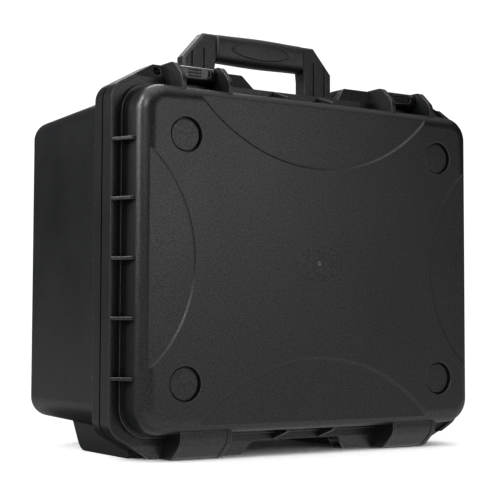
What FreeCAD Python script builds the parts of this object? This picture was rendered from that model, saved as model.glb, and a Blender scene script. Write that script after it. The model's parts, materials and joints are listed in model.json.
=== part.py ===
import FreeCAD, Part
import math
import operator
import os

import Sketcher
from FreeCAD import Vector

# Hard case: a deep moulded base and a shallow hinged lid, two latches, a folding handle.
# The case stands on its hinge side. The shared frame of every piece has x across the width,
# y through the depth, with the lid on its negative side, and z up, its centre at mid height
# of the parting plane. Lengths are millimetres and angles are degrees.

SHEET = [
    # Flange that runs round both shells at the parting plane
    ("flange_width", 459.0),
    ("flange_height", 377.0),
    ("bump_height", 406.0),
    ("bump_inner_x", 68.5),
    ("bump_outer_x", 178.0),
    ("bump_flank_angle", 51.0),
    ("corner_rise_angle", 29.0),
    ("flange_corner_r", 21.0),
    ("bump_corner_r", 3.0),
    ("lid_band", 20.0),
    ("base_band", 17.0),
    ("lip_width", 3.0),
    ("lip_height", 4.0),
    ("shoulder_width", 4.0),
    ("shoulder_rise", 2.0),
    ("parting_gap", 0.4),
    ("bump_face_draft", 20.0),
    # Lid and base bodies
    ("body_width", 430.0),
    ("body_height", 353.0),
    ("body_corner_r", 28.0),
    ("lid_depth", 60.0),
    ("lid_draft", 1.0),
    ("lid_wall", 4.4),
    ("lid_edge_r", 16.5),
    ("base_depth", 232.0),
    ("base_draft", 1.5),
    ("base_wall", 4.5),
    ("base_edge_r", 18.0),
    ("inner_corner_bevel", 16.0),
    ("inner_edge_bevel", 8.5),
    # Gussets between flange and walls
    ("gusset_thickness", 3.2),
    ("gusset_reach", 24.0),
    ("gusset_pitch", 60.0),
    ("gusset_edge_set", 0.6),
    ("gusset_nose_width", 4.5),
    ("gusset_nose_r", 3.0),
    # Lid face
    ("recess_spacing_x", 330.0),
    ("recess_spacing_z", 250.0),
    ("recess_d", 36.5),
    ("recess_depth", 6.0),
    ("recess_disc_d", 31.5),
    ("recess_disc_drop", 3.0),
    ("arc_step", 2.0),
    ("arc_slope", 45.0),
    ("arc_top_sag_z", 100.0),
    ("arc_top_end_x", 150.0),
    ("arc_top_end_z", 167.0),
    ("arc_side_sag_x", 153.0),
    ("arc_side_end_x", 205.0),
    ("arc_side_end_z", 111.0),
    ("badge_width", 62.8),
    ("badge_height", 39.0),
    ("badge_depth", 0.8),
    ("badge_pin_spacing", 55.0),
    ("badge_pin_d", 1.8),
    # Seal
    ("seal_width", 4.6),
    ("seal_height", 3.0),
    ("seal_side_gap", 0.2),
    ("groove_depth", 5.0),
    ("groove_offset", 0.8),
    ("tongue_width", 2.4),
    ("tongue_seal_gap", 0.3),
    # Latches
    ("latch_x", 135.7),
    ("latch_width", 50.0),
    ("latch_side_gap", 0.5),
    ("ear_thickness", 4.8),
    ("ear_top_rise", 1.0),
    ("ear_reach", 52.4),
    ("ear_shoulder_y", 33.0),
    ("ear_shoulder_drop", 18.0),
    ("ear_round", 13.0),
    ("latch_pivot_y", 30.0),
    ("latch_pivot_z", 195.0),
    ("latch_top_z", 203.5),
    ("latch_float", 0.8),
    ("latch_nose", 10.6),
    ("latch_nose_r", 8.0),
    ("latch_hook_z", 185.0),
    ("latch_boss_r", 8.5),
    ("base_ear_back_y", 43.0),
    ("base_ear_r", 11.0),
    ("latch_catch_gap", 0.4),
    ("latch_pin_d", 4.5),
    ("scoop_width", 36.0),
    ("scoop_height", 11.0),
    ("scoop_z", 196.5),
    ("scoop_depth", 2.5),
    # Hinge
    ("hinge_pin_d", 4.0),
    ("knuckle_r", 5.5),
    ("hinge_relief", 3.4),
    ("knuckle_gap", 0.6),
    ("web_root", 1.0),
    ("running_gap", 0.15),
    ("cover_skin", 3.5),
    ("cover_inset", 0.7),
    ("cover_half_turn", 22.5),
    # Handle
    ("handle_width", 203.0),
    ("arm_width", 39.5),
    ("handle_thickness", 18.0),
    ("handle_pivot_y", 66.0),
    ("handle_pivot_z", 185.0),
    ("handle_top_z", 262.0),
    ("handle_shoulder_z", 233.0),
    ("handle_shoulder_x", 76.0),
    ("handle_inner_z", 222.0),
    ("handle_pin_d", 6.0),
    ("foot_r", 8.8),
    ("crossbar_height", 22.0),
    ("arm_bevel", 2.6),
    ("slot_width", 1.7),
    ("slot_depth", 3.0),
    ("slot_inner_x", 75.5),
    ("slot_inner_top_z", 245.0),
    ("slot_outer_x", 91.0),
    ("slot_outer_top_z", 240.0),
    ("grip_rise", 2.0),
    ("grip_end_gap", 0.3),
    ("grip_bore_gap", 0.1),
    ("grip_length", 120.0),
    ("grip_end_r", 2.5),
    ("grip_height", 33.5),
    ("grip_thickness", 28.0),
    ("grip_corner_r", 10.0),
    ("grip_inset_width", 77.0),
    ("grip_inset_height", 19.0),
    ("grip_inset_depth", 1.2),
    ("lug_thickness", 6.0),
    ("lug_r", 9.0),
    ("lug_side_gap", 0.6),
    # Feet
    ("foot_inner_x", 78.0),
    ("foot_outer_x", 192.0),
    ("foot_depth", 142.0),
    ("foot_back_y", 122.0),
    ("foot_round", 22.0),
    ("foot_wall", 4.0),
    ("foot_hollow", 21.0),
    ("stack_ring_height", 4.0),
    ("stack_ring_gap", 0.3),
    # Padlock holes
    ("padlock_x", 174.0),
    ("padlock_z", 195.5),
    ("padlock_d", 9.0),
    # Pressure vent
    ("vent_y", 66.0),
    ("vent_boss_width", 27.0),
    ("vent_boss_drop", 3.0),
    ("vent_boss_height", 9.0),
    ("vent_hole_d", 12.0),
    ("vent_hole_gap", 0.2),
    ("vent_head_width", 24.0),
    ("vent_head_height", 3.0),
    ("vent_cap_width", 20.0),
    ("vent_cap_height", 3.0),
    ("vent_cap_skin", 1.2),
    ("vent_slot_width", 2.4),
    ("vent_seal_d", 18.0),
    ("vent_seal_height", 1.5),
    ("vent_nut_width", 19.0),
    ("vent_nut_height", 5.0),
    ("vent_bore_d", 7.0),
    ("vent_membrane_d", 11.0),
    ("vent_membrane_height", 0.6),
    # One overrun for every cut that has to leave its piece
    ("overrun", 3.0),
]


class Size:
    """A length or angle: its value now, and the formula that binds a feature to the sheet."""

    def __init__(self, value, text):
        self.value = float(value)
        self.text = text

    def __add__(self, other):
        return joined(self, "+", other)

    def __sub__(self, other):
        return joined(self, "-", other)

    def __mul__(self, other):
        return joined(self, "*", other)

    def __truediv__(self, other):
        return joined(self, "/", other)

    def __rsub__(self, other):
        return joined(other, "-", self)

    def __rmul__(self, other):
        return joined(other, "*", self)

    def __radd__(self, other):
        return joined(other, "+", self)

    def __neg__(self):
        return joined(-1, "*", self)


SIGNS = {"+": operator.add, "-": operator.sub, "*": operator.mul, "/": operator.truediv}


def value_of(size):
    return size.value if isinstance(size, Size) else float(size)


def text_of(size):
    return size.text if isinstance(size, Size) else repr(float(size))


def joined(first, sign, second):
    value = SIGNS[sign](value_of(first), value_of(second))
    return Size(value, "(%s %s %s)" % (text_of(first), sign, text_of(second)))


def tangent(angle):
    return Size(math.tan(math.radians(angle.value)), "tan(%s)" % angle.text)


doc = FreeCAD.newDocument("hard_case")
sheet = doc.addObject("Spreadsheet::Sheet", "Sizes")


class Sizes:
    pass


d = Sizes()
for row, (word, number) in enumerate(SHEET, start=1):
    sheet.set("A%d" % row, word)
    sheet.set("B%d" % row, str(number))
    sheet.setAlias("B%d" % row, word)
    setattr(d, word, Size(number, "Sizes." + word))
doc.recompute()


# Sizes that follow from the sheet
half_flange_x = d.flange_width / 2
half_flange_z = d.flange_height / 2
bump_z = d.bump_height / 2
half_body_x = d.body_width / 2
half_body_z = d.body_height / 2
half_gap = d.parting_gap / 2
lid_plate = d.lid_band - d.lip_height
base_plate = d.base_band - d.lip_height
ear_in = d.latch_x - d.latch_width / 2 - d.latch_side_gap - d.ear_thickness
ear_out = d.latch_x + d.latch_width / 2 + d.latch_side_gap
notch_width = d.latch_width + 2 * d.latch_side_gap
ear_top = bump_z + d.ear_top_rise
hinge_z = d.knuckle_r - bump_z
relief_r = d.knuckle_r + d.hinge_relief
case_depth = d.lid_depth + d.base_depth + d.stack_ring_height
parting_y = (d.lid_depth - d.base_depth - d.stack_ring_height) / 2
handle_half = d.handle_width / 2
arm_inner_x = handle_half - d.arm_width


def bind(thing, path, size):
    thing.setExpression(path, text_of(size))


def new_body(label):
    """A body in the shared frame, moved to the case's place over the floor."""
    body = doc.addObject("PartDesign::Body", label)
    body.Label = label
    bind(body, ".Placement.Base.y", parting_y)
    bind(body, ".Placement.Base.z", bump_z)
    return body


def new_fittings(label):
    """A body for the small forms of a shell, which are made apart and joined to it once."""
    return doc.addObject("PartDesign::Body", label)


def join(body, fittings):
    feature = body.newObject("PartDesign::Boolean", body.Label + "_join")
    feature.setObjects([fittings])
    feature.Type = "Fuse"
    doc.recompute()
    if "Invalid" in feature.State or len(feature.Shape.Solids) != 1:
        raise RuntimeError(body.Label + " doesn't join its fittings")
    return feature


def plane_of(body, role):
    return [f for f in body.Origin.OriginFeatures if f.Role == role][0]


def new_sketch(body, name, role, offset):
    """A sketch on one of the body's own planes, offset along the plane's normal."""
    sketch = body.newObject("Sketcher::SketchObject", name)
    sketch.AttachmentSupport = [(plane_of(body, role), "")]
    sketch.MapMode = "FlatFace"
    bind(sketch, ".AttachmentOffset.Base.z", offset)
    return sketch


def hold(sketch, geometry, point, x, y):
    """Dimensions one point from the sketch's origin, or ties it to an axis where it lies on one."""
    for axis, kind, size in ((-2, "DistanceX", x), (-1, "DistanceY", y)):
        if value_of(size) == 0:
            sketch.addConstraint(Sketcher.Constraint("PointOnObject", geometry, point, axis))
        else:
            at = sketch.addConstraint(
                Sketcher.Constraint(kind, -1, 1, geometry, point, value_of(size))
            )
            bind(sketch, "Constraints[%d]" % at, size)


def add_outline(sketch, corners):
    """A closed outline through corners (x, y, radius), each rounded corner a tangent arc."""
    spots = [Vector(value_of(x), value_of(y), 0) for x, y, r in corners]
    count = len(spots)
    leave = []
    arrive = []
    arcs = []
    for i, (x, y, r) in enumerate(corners):
        back = (spots[i - 1] - spots[i]).normalize()
        ahead = (spots[(i + 1) % count] - spots[i]).normalize()
        radius = value_of(r)
        if radius == 0:
            arrive.append(spots[i])
            leave.append(spots[i])
            arcs.append(None)
            continue
        half_turn = back.getAngle(ahead) / 2
        reach = radius / math.tan(half_turn)
        first = spots[i] + back * reach
        last = spots[i] + ahead * reach
        centre = spots[i] + (back + ahead).normalize() * (radius / math.sin(half_turn))
        left_turn = back.cross(ahead).z < 0
        start, end = (first, last) if left_turn else (last, first)
        angles = [math.atan2(p.y - centre.y, p.x - centre.x) for p in (start, end)]
        if angles[1] < angles[0]:
            angles[1] += 2 * math.pi
        circle = Part.Circle(centre, Vector(0, 0, 1), radius)
        arcs.append((Part.ArcOfCircle(circle, angles[0], angles[1]), left_turn, r))
        arrive.append(first)
        leave.append(last)
    lines = []
    for i in range(count):
        line = Part.LineSegment(leave[i], arrive[(i + 1) % count])
        lines.append(sketch.addGeometry(line, False))
    for i, (x, y, r) in enumerate(corners):
        before = lines[i - 1]
        after = lines[i]
        if arcs[i] is None:
            sketch.addConstraint(Sketcher.Constraint("Coincident", before, 2, after, 1))
            hold(sketch, after, 1, x, y)
            continue
        shape, left_turn, radius = arcs[i]
        arc = sketch.addGeometry(shape, False)
        tips = (1, 2) if left_turn else (2, 1)
        sketch.addConstraint(Sketcher.Constraint("Tangent", before, 2, arc, tips[0]))
        sketch.addConstraint(Sketcher.Constraint("Tangent", after, 1, arc, tips[1]))
        at = sketch.addConstraint(Sketcher.Constraint("Radius", arc, value_of(radius)))
        bind(sketch, "Constraints[%d]" % at, radius)
        mark = sketch.addGeometry(Part.Point(spots[i]), True)
        hold(sketch, mark, 1, x, y)
        sketch.addConstraint(Sketcher.Constraint("PointOnObject", mark, 1, before))
        sketch.addConstraint(Sketcher.Constraint("PointOnObject", mark, 1, after))


def add_circle(sketch, x, y, radius):
    centre = Vector(value_of(x), value_of(y), 0)
    circle = Part.Circle(centre, Vector(0, 0, 1), value_of(radius))
    geometry = sketch.addGeometry(circle, False)
    hold(sketch, geometry, 3, x, y)
    at = sketch.addConstraint(Sketcher.Constraint("Radius", geometry, value_of(radius)))
    bind(sketch, "Constraints[%d]" % at, radius)


def add_ellipse(sketch, x, y, width, height):
    """An ellipse about (x, y), wider than high."""
    centre = Vector(value_of(x), value_of(y), 0)
    shape = Part.Ellipse(centre, value_of(width) / 2, value_of(height) / 2)
    geometry = sketch.addGeometry(shape, False)
    sketch.exposeInternalGeometry(geometry)
    long_axis = geometry + 1
    short_axis = geometry + 2
    hold(sketch, geometry, 3, x, y)
    sketch.addConstraint(Sketcher.Constraint("Horizontal", long_axis))
    for axis, size in ((long_axis, width), (short_axis, height)):
        at = sketch.addConstraint(
            Sketcher.Constraint("Distance", axis, 1, axis, 2, value_of(size))
        )
        bind(sketch, "Constraints[%d]" % at, size)


def grow(body, kind, sketch, length, reverse=False, middle=False, taper=0):
    """A pad or pocket of a sketch, checked to add or remove material."""
    before = body.Tip.Shape.Volume if body.Tip else 0
    feature = body.newObject("PartDesign::" + kind, sketch.Name + "_" + kind.lower())
    feature.Profile = sketch
    bind(feature, "Length", length)
    feature.Reversed = reverse
    if middle:
        feature.SideType = "Symmetric"
    if value_of(taper):
        bind(feature, "TaperAngle", taper)
    feature.Refine = False
    sketch.Visibility = False
    doc.recompute()
    change = feature.Shape.Volume - before
    if "Invalid" in feature.State or (change <= 0) == (kind == "Pad"):
        raise RuntimeError("%s changed nothing: %g" % (feature.Name, change))
    return feature


def pad(body, sketch, length, **how):
    return grow(body, "Pad", sketch, length, **how)


def pocket(body, sketch, length, **how):
    return grow(body, "Pocket", sketch, length, **how)


def round_edges(body, name, radius, chosen):
    """Rounds the edges of the body's last feature for which chosen(edge) is true."""
    last = body.Tip
    edges = enumerate(last.Shape.Edges, start=1)
    names = ["Edge%d" % number for number, edge in edges if chosen(edge)]
    feature = body.newObject("PartDesign::Fillet", name)
    feature.Base = (last, names)
    bind(feature, "Radius", radius)
    feature.Refine = False
    doc.recompute()
    if "Invalid" in feature.State or not names:
        raise RuntimeError(name + " rounded nothing")
    return feature


def edge_lies_at(y):
    """Picks edges that lie wholly in the plane at this y of the shared frame."""
    def chosen(edge):
        box = edge.BoundBox
        return abs(box.YMin - y.value) < 1e-3 and abs(box.YMax - y.value) < 1e-3
    return chosen


def edge_on_arm_outside(y):
    """Picks the edges of the handle's outer outline in the plane at this y."""
    def chosen(edge):
        box = edge.BoundBox
        flat = abs(box.YMin - y.value) < 1e-3 and abs(box.YMax - y.value) < 1e-3
        outer = max(abs(box.XMin), abs(box.XMax)) > d.handle_shoulder_x.value - 1e-3
        return flat and outer and box.ZMax > d.handle_pivot_z.value + 1
    return chosen


def bevel_edges(body, name, size, chosen):
    """Bevels the edges of the body's last feature for which chosen(edge) is true."""
    last = body.Tip
    edges = enumerate(last.Shape.Edges, start=1)
    names = ["Edge%d" % number for number, edge in edges if chosen(edge)]
    feature = body.newObject("PartDesign::Chamfer", name)
    feature.Base = (last, names)
    bind(feature, "Size", size)
    feature.Refine = False
    doc.recompute()
    if "Invalid" in feature.State or not names:
        raise RuntimeError(name + " bevelled nothing")
    return feature


def tapered(angle):
    return -1 * angle


def with_signs(corners, side_x, side_z):
    """The corners on another quarter of the shared frame, in the order of a closed loop."""
    moved = [(side_x * x, side_z * z, r) for x, z, r in corners]
    return moved if side_x * side_z > 0 else moved[::-1]


def four_quarters(quarter):
    loop = []
    for side_x, side_z in ((1, 1), (-1, 1), (-1, -1), (1, -1)):
        loop += with_signs(quarter, side_x, side_z)
    return loop


def rectangle(half_x, half_z, r):
    return four_quarters([(half_x, half_z, r)])


def box_corners(x_low, x_high, z_low, z_high):
    return [(x_low, z_low, 0), (x_high, z_low, 0), (x_high, z_high, 0), (x_low, z_high, 0)]


def flange_outline():
    """The flange: a rectangle whose top and bottom rise to bumps over latches and hinges."""
    rise = (half_flange_x - d.bump_outer_x) * tangent(d.corner_rise_angle)
    run = (bump_z - half_flange_z) / tangent(d.bump_flank_angle)
    return four_quarters([
        (half_flange_x, bump_z - rise, d.flange_corner_r),
        (d.bump_outer_x, bump_z, d.bump_corner_r),
        (d.bump_inner_x, bump_z, d.bump_corner_r),
        (d.bump_inner_x - run, half_flange_z, d.bump_corner_r),
    ])


def channel_outline():
    """The hollow inside the flange's lip, which runs out over the bumps."""
    slope = tangent(d.corner_rise_angle)
    drop = d.lip_width / cosine(d.corner_rise_angle)
    corner_x = half_flange_x - d.lip_width
    corner_z = bump_z - (corner_x - d.bump_outer_x) * slope - drop
    exit_x = d.bump_outer_x - (d.overrun + drop) / slope
    return four_quarters([
        (corner_x, corner_z, d.flange_corner_r - d.lip_width),
        (exit_x, bump_z + d.overrun, 0),
    ])


def cavity_outline(wall):
    """The inside of a shell at the parting plane, with its corners bevelled within the round walls."""
    across = half_body_x - wall
    up = half_body_z - wall
    return four_quarters([
        (across, up - d.inner_corner_bevel, 0),
        (across - d.inner_corner_bevel, up, 0),
    ])


def polygon(x, y, half, sides):
    """A regular outline with the given half width across its flats, its first flat on the low side."""
    turns = [math.radians(360 * (k - 0.5) / sides - 90) for k in range(sides)]
    point = half / math.cos(math.pi / sides)
    return [(x + math.cos(turn) * point, y + math.sin(turn) * point, 0) for turn in turns]


def cosine(angle):
    return Size(math.cos(math.radians(angle.value)), "cos(%s)" % angle.text)


def repeated(body, name, original, steps):
    """Repeats one feature by a list of patterns and mirrors, each applied to all before it."""
    feature = body.newObject("PartDesign::MultiTransform", name)
    feature.Originals = [original]
    moves = []
    for kind, role, length, count in steps:
        if kind == "row":
            move = body.newObject("PartDesign::LinearPattern", name + "_row")
            move.Direction = (plane_of(body, role), [""])
            bind(move, "Length", length)
            move.Occurrences = count
        else:
            move = body.newObject("PartDesign::Mirrored", name + "_mirror")
            move.MirrorPlane = (plane_of(body, role), [""])
        moves.append(move)
    feature.Transformations = moves
    feature.Refine = False
    body.Tip = feature
    before = original.Shape.Volume
    doc.recompute()
    if "Invalid" in feature.State or abs(feature.Shape.Volume - before) < 1:
        raise RuntimeError(name + " repeated nothing")
    return feature


MIRROR_X = ("mirror", "YZ_Plane", 0, 2)
MIRROR_Z = ("mirror", "XY_Plane", 0, 2)


def ear_corners(front, side_z, inset=0):
    """The side view of a lid ear: a rounded brow that falls to a toe on the lid's edge."""
    top = side_z * (front - inset)
    reach = d.ear_reach - inset
    shoulder = side_z * (front - inset - d.ear_shoulder_drop)
    root = side_z * (half_body_z - d.lid_wall)
    return [
        (-1 * lid_plate / 2, root, 0),
        (-1 * lid_plate / 2, top, 0),
        (-1 * d.ear_shoulder_y, top, d.ear_round),
        (-1 * reach, shoulder, d.ear_round),
        (-1 * reach, root, 0),
    ]


def latch_notches(body, band_y):
    """Cuts the bumps down to the flange between the ears, where the latches lie."""
    sketch = new_sketch(body, body.Label + "_notch", "XZ_Plane", band_y)
    for side in (-1, 1):
        x_near = side * (ear_in + d.ear_thickness)
        x_far = side * ear_out
        add_outline(sketch, box_corners(x_near, x_far, half_flange_z, bump_z + d.overrun))
    return sketch


def hinge_relief(body):
    sketch = new_sketch(body, body.Label + "_relief", "YZ_Plane", 0)
    add_circle(sketch, 0, hinge_z, relief_r)
    pocket(body, sketch, 2 * (d.bump_outer_x + relief_r + 2 * d.knuckle_gap), middle=True)


def knuckle(body, name, plate_y, tip_y, start, length):
    """A hinge knuckle along x: round about the pin, with a web back to its flange."""
    sketch = new_sketch(body, name, "YZ_Plane", start)
    round_r = d.knuckle_r * knuckle_round_share
    low = hinge_z - d.knuckle_r
    high = hinge_z + d.knuckle_r
    add_outline(sketch, [
        (plate_y, low, 0),
        (tip_y, low, round_r),
        (tip_y, high, round_r),
        (plate_y, high, 0),
    ])
    return pad(body, sketch, length)


def bore_along_x(body, name, y, z, pin_d, gap, half_length):
    sketch = new_sketch(body, name, "YZ_Plane", 0)
    add_circle(sketch, y, z, pin_d / 2 + gap)
    pocket(body, sketch, 2 * half_length, middle=True)


def padlock_holes(body, band_y, depth, reverse):
    sketch = new_sketch(body, body.Label + "_padlock", "XZ_Plane", band_y)
    for side in (-1, 1):
        add_circle(sketch, side * d.padlock_x, d.padlock_z, d.padlock_d / 2)
    pocket(body, sketch, depth, reverse=reverse)


knuckle_round_share = 0.98
hinge_length = notch_width + 2 * d.ear_thickness
lid_knuckle = hinge_length / 4
base_knuckle = hinge_length - 2 * (lid_knuckle + d.knuckle_gap)
ear_pitch = notch_width + d.ear_thickness
groove_in_x = half_body_x + d.groove_offset
groove_in_z = half_body_z + d.groove_offset
groove_width = d.seal_width + 2 * d.seal_side_gap
groove_in_r = d.body_corner_r + d.groove_offset
tongue_in = (groove_width - d.tongue_width) / 2
tongue_height = 2 * half_gap + d.groove_depth - d.seal_height - d.tongue_seal_gap
web_y = relief_r + d.web_root
bore_half = ear_out + d.ear_thickness + d.overrun
crossbar_z = d.handle_top_z + d.grip_rise - d.grip_height / 2
lug_in = arm_inner_x - d.lug_side_gap - d.lug_thickness
lug_pitch = d.arm_width + 2 * d.lug_side_gap + d.lug_thickness
lug_length = lug_pitch + d.lug_thickness
vent_low_z = half_body_z - d.base_wall - d.vent_boss_drop
vent_top_z = vent_low_z + d.vent_boss_height


def make_lid():
    """The moulded lid: flange, walls, face with arc steps and recesses, ears and hinge covers."""
    body = new_body("lid_shell")
    sketch = new_sketch(body, "lid_flange", "XZ_Plane", half_gap)
    add_outline(sketch, flange_outline())
    pad(body, sketch, d.lid_band - half_gap)

    sketch = new_sketch(body, "lid_channel", "XZ_Plane", d.lid_band)
    add_outline(sketch, channel_outline())
    pocket(body, sketch, d.lip_height)

    sketch = new_sketch(body, "lid_bump_face", "YZ_Plane", 0)
    high = bump_z + d.overrun
    lean = (high - half_flange_z) * tangent(d.bump_face_draft)
    for side in (-1, 1):
        add_outline(sketch, [
            (-1 * d.lid_band - d.overrun, side * half_flange_z, 0),
            (-1 * lid_plate, side * half_flange_z, 0),
            (lean - lid_plate, side * high, 0),
            (-1 * d.lid_band - d.overrun, side * high, 0),
        ])
    pocket(body, sketch, d.flange_width, middle=True)

    pocket(body, latch_notches(body, d.lid_band), d.lid_band)
    hinge_relief(body)
    padlock_holes(body, d.lid_band, d.lid_band, False)

    sketch = new_sketch(body, "lid_shoulder", "XZ_Plane", half_gap)
    margin = d.shoulder_width
    add_outline(sketch, rectangle(half_body_x + margin, half_body_z + margin, d.body_corner_r + margin))
    pad(body, sketch, d.lid_band + d.shoulder_rise - half_gap)

    sketch = new_sketch(body, "lid_body", "XZ_Plane", half_gap)
    add_outline(sketch, rectangle(half_body_x, half_body_z, d.body_corner_r))
    pad(body, sketch, d.lid_depth - half_gap, taper=tapered(d.lid_draft))

    sketch = new_sketch(body, "lid_cavity", "XZ_Plane", half_gap)
    add_outline(sketch, cavity_outline(d.lid_wall))
    depth = d.lid_depth - d.lid_wall
    pocket(body, sketch, depth - half_gap, reverse=True, taper=tapered(d.lid_draft))
    bevel_edges(body, "lid_inner_edge", d.inner_edge_bevel, edge_lies_at(-1 * depth))
    round_edges(body, "lid_edge", d.lid_edge_r, edge_lies_at(-1 * d.lid_depth))

    spots = [(x * d.recess_spacing_x / 2, z * d.recess_spacing_z / 2) for x in (-1, 1) for z in (-1, 1)]
    behind = d.lid_depth - d.recess_depth
    sketch = new_sketch(body, "lid_recess_boss", "XZ_Plane", behind - d.lid_wall)
    for x, z in spots:
        add_outline(sketch, polygon(x, z, d.recess_d / 2 + d.lid_wall, 8))
    pad(body, sketch, d.recess_depth + d.lid_wall / 2)

    sketch = new_sketch(body, "lid_arcs", "XZ_Plane", d.lid_depth)
    top_sag = d.arc_top_end_z - d.arc_top_sag_z
    top_r = (d.arc_top_end_x * d.arc_top_end_x + top_sag * top_sag) / (2 * top_sag)
    side_sag = d.arc_side_end_x - d.arc_side_sag_x
    side_r = (d.arc_side_end_z * d.arc_side_end_z + side_sag * side_sag) / (2 * side_sag)
    for side in (-1, 1):
        add_circle(sketch, 0, side * (d.arc_top_sag_z + top_r), top_r)
        add_circle(sketch, side * (d.arc_side_sag_x + side_r), 0, side_r)
    pocket(body, sketch, d.arc_step, taper=tapered(d.arc_slope))

    sketch = new_sketch(body, "lid_recess", "XZ_Plane", d.lid_depth)
    for x, z in spots:
        add_circle(sketch, x, z, d.recess_d / 2)
    pocket(body, sketch, d.recess_depth)
    sketch = new_sketch(body, "lid_recess_disc", "XZ_Plane", behind)
    for x, z in spots:
        add_circle(sketch, x, z, d.recess_disc_d / 2)
    pad(body, sketch, d.recess_depth - d.recess_disc_drop)

    sketch = new_sketch(body, "lid_badge", "XZ_Plane", d.lid_depth)
    add_ellipse(sketch, 0, 0, d.badge_width, d.badge_height)
    pocket(body, sketch, d.badge_depth)
    sketch = new_sketch(body, "lid_badge_pins", "XZ_Plane", d.lid_depth)
    for side in (-1, 1):
        add_circle(sketch, side * d.badge_pin_spacing / 2, 0, d.badge_pin_d / 2)
    pocket(body, sketch, 2 * d.badge_depth)

    sketch = new_sketch(body, "lid_groove", "XZ_Plane", half_gap)
    for out in (0, groove_width):
        add_outline(sketch, rectangle(groove_in_x + out, groove_in_z + out, groove_in_r + out))
    pocket(body, sketch, d.groove_depth, reverse=True)

    join(body, lid_fittings())
    return body


def add_gussets(body, word, side, band, plate, wall):
    """Five ribs on each side and two at each end, between the flange and the wall."""
    nose = d.lid_band + d.gusset_reach
    root = half_body_x - wall / 2
    corners = gusset_corners(half_flange_x, root, side, plate / 2, band, nose)
    sketch = new_sketch(body, word + "_side_gusset", "XY_Plane", -2 * d.gusset_pitch)
    add_outline(sketch, corners)
    rib = pad(body, sketch, d.gusset_thickness, middle=True)
    row = ("row", "Z_Axis", 4 * d.gusset_pitch, 5)
    repeated(body, word + "_side_gussets", rib, [row, MIRROR_X])
    root = half_body_z - wall / 2
    corners = gusset_corners(half_flange_z, root, side, plate / 2, plate, nose)
    sketch = new_sketch(body, word + "_end_gusset", "YZ_Plane", d.gusset_pitch / 2)
    add_outline(sketch, [(y, z, r) for z, y, r in corners])
    rib = pad(body, sketch, d.gusset_thickness, middle=True)
    repeated(body, word + "_end_gussets", rib, [MIRROR_X, MIRROR_Z])


def lid_fittings():
    """The lid's gussets, latch ears, hinge covers and knuckles."""
    body = new_fittings("lid_fittings")
    add_gussets(body, "lid", -1, d.lid_band, lid_plate, d.lid_wall)
    for name, front, side in (("lid_ear", ear_top, 1), ("lid_foot_ear", bump_z, -1)):
        sketch = new_sketch(body, name, "YZ_Plane", ear_in)
        add_outline(sketch, ear_corners(front, side))
        ear = pad(body, sketch, d.ear_thickness)
        repeated(body, name + "s", ear, [("row", "X_Axis", ear_pitch, 2), MIRROR_X])
    sketch = new_sketch(body, "lid_cover", "YZ_Plane", ear_in + d.ear_thickness / 2)
    add_outline(sketch, cover_corners())
    cover = pad(body, sketch, ear_pitch)
    repeated(body, "lid_covers", cover, [MIRROR_X])
    first = knuckle(body, "lid_knuckle", -1 * web_y, d.knuckle_r, ear_in, lid_knuckle)
    apart = hinge_length - lid_knuckle
    repeated(body, "lid_knuckles", first, [("row", "X_Axis", apart, 2), MIRROR_X])
    bore_along_x(body, "lid_pin_bore", 0, hinge_z, d.hinge_pin_d, d.running_gap, bore_half)
    return body


def gusset_corners(flange, root, side, inside, front, nose):
    """A thin rib from the flange's edge to a rounded nose on the wall, on one side of y = 0."""
    back = d.gusset_edge_set
    return [
        (root, side * inside, 0),
        (flange - back, side * inside, 0),
        (flange - back, side * front, 0),
        (root + d.gusset_nose_width, side * (nose - back), d.gusset_nose_r),
        (root, side * nose, 0),
    ]


def cover_corners():
    """The curved panel between two hinge ears, a skin set a little inside their outline."""
    outer = ear_corners(bump_z, -1, d.cover_inset)
    inset = d.cover_inset + d.cover_skin
    inner = ear_corners(bump_z, -1, inset)
    shift = d.cover_skin * tangent(d.cover_half_turn)
    low_y, low_z, low_r = inner[2]
    top_y, top_z, top_r = inner[3]
    root_y, root_z, root_r = inner[4]
    return [
        outer[1],
        outer[2],
        outer[3],
        outer[4],
        (root_y, root_z, root_r),
        (top_y, top_z - d.cover_skin + shift, top_r - d.cover_skin),
        (low_y + shift, low_z, low_r - d.cover_skin),
        inner[1],
    ]


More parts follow.
